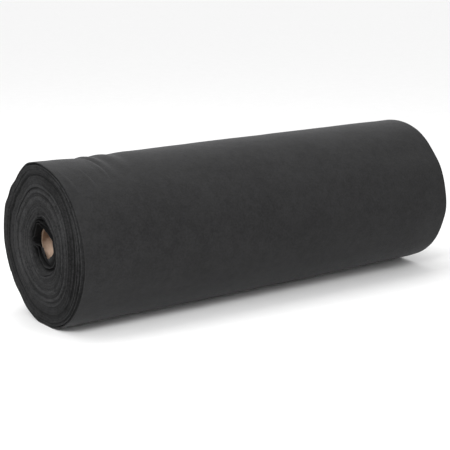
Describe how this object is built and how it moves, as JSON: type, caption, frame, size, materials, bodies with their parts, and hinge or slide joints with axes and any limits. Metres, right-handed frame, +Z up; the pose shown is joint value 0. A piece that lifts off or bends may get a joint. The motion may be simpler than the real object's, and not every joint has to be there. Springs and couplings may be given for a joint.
{
  "type": "roll of backdrop cloth on a cardboard core",
  "caption": "Short, thick roll of soft matt black non-woven backdrop cloth, wound on a recessed spiral cardboard core, with a taped free end that peels open",
  "frame": {"origin": "on the core's axis, halfway along the roll", "axes": "+X along the core's axis and the length of the roll, +Z up, -Z into the flat that the roll rests on; the free end hangs down the +Y side"},
  "size_m": [0.918, 0.3213, 0.3179],
  "materials": {
    "cloth": "soft matt black non-woven felt",
    "kraft_liner": "uncoated kraft paper ply, wound in a spiral",
    "grey_board": "raw grey-brown board plies",
    "kraft_wrap": "uncoated kraft paper ply, wound in a spiral",
    "tape": "creped cream masking tape"
  },
  "bodies": {
    "roll": {"core_liner": "kraft_liner", "core_board": "grey_board", "core_wrap": "kraft_wrap", "start_tape": "tape", "first_turns": "cloth", "heart_winding": "cloth", "outer_winding": "cloth", "last_turns": "cloth", "mouth_fold_back": "cloth", "mouth_fold_bottom": "cloth"},
    "tail_panel_1": {"tail_panel_1": "cloth"},
    "tail_panel_2": {"tail_panel_2": "cloth"},
    "tail_panel_3": {"tail_panel_3": "cloth"},
    "tail_panel_4": {"tail_panel_4": "cloth"},
    "tail_panel_5": {"tail_panel_5": "cloth"},
    "tail_panel_6": {"tail_panel_6": "cloth", "edge_tapes": "tape"}
  },
  "joints": [
    {"name": "free_end_peel", "type": "hinge", "parent": "roll", "child": "tail_panel_1", "pos_m": [0, 0.08036, 0.13919], "axis": [1, 0, 0], "range_deg": [0, 45]},
    {"name": "free_end_bend_2", "type": "hinge", "parent": "tail_panel_1", "child": "tail_panel_2", "pos_m": [0, 0.11368, 0.11368], "axis": [1, 0, 0], "range_deg": [0, 15]},
    {"name": "free_end_bend_3", "type": "hinge", "parent": "tail_panel_2", "child": "tail_panel_3", "pos_m": [0, 0.13927, 0.08041], "axis": [1, 0, 0], "range_deg": [0, 15]},
    {"name": "free_end_bend_4", "type": "hinge", "parent": "tail_panel_3", "child": "tail_panel_4", "pos_m": [0, 0.15538, 0.04163], "axis": [1, 0, 0], "range_deg": [0, 15]},
    {"name": "free_end_bend_5", "type": "hinge", "parent": "tail_panel_4", "child": "tail_panel_5", "pos_m": [0, 0.16091, 0], "axis": [1, 0, 0], "range_deg": [0, 15]},
    {"name": "free_end_bend_6", "type": "hinge", "parent": "tail_panel_5", "child": "tail_panel_6", "pos_m": [0, 0.15547, -0.04166], "axis": [1, 0, 0], "range_deg": [0, 15]}
  ],
  "couplings": [
    {"joint": "free_end_bend_2", "follows": "free_end_peel", "ratio": 0.33333},
    {"joint": "free_end_bend_3", "follows": "free_end_peel", "ratio": 0.33333},
    {"joint": "free_end_bend_4", "follows": "free_end_peel", "ratio": 0.33333},
    {"joint": "free_end_bend_5", "follows": "free_end_peel", "ratio": 0.33333},
    {"joint": "free_end_bend_6", "follows": "free_end_peel", "ratio": 0.33333}
  ]
}
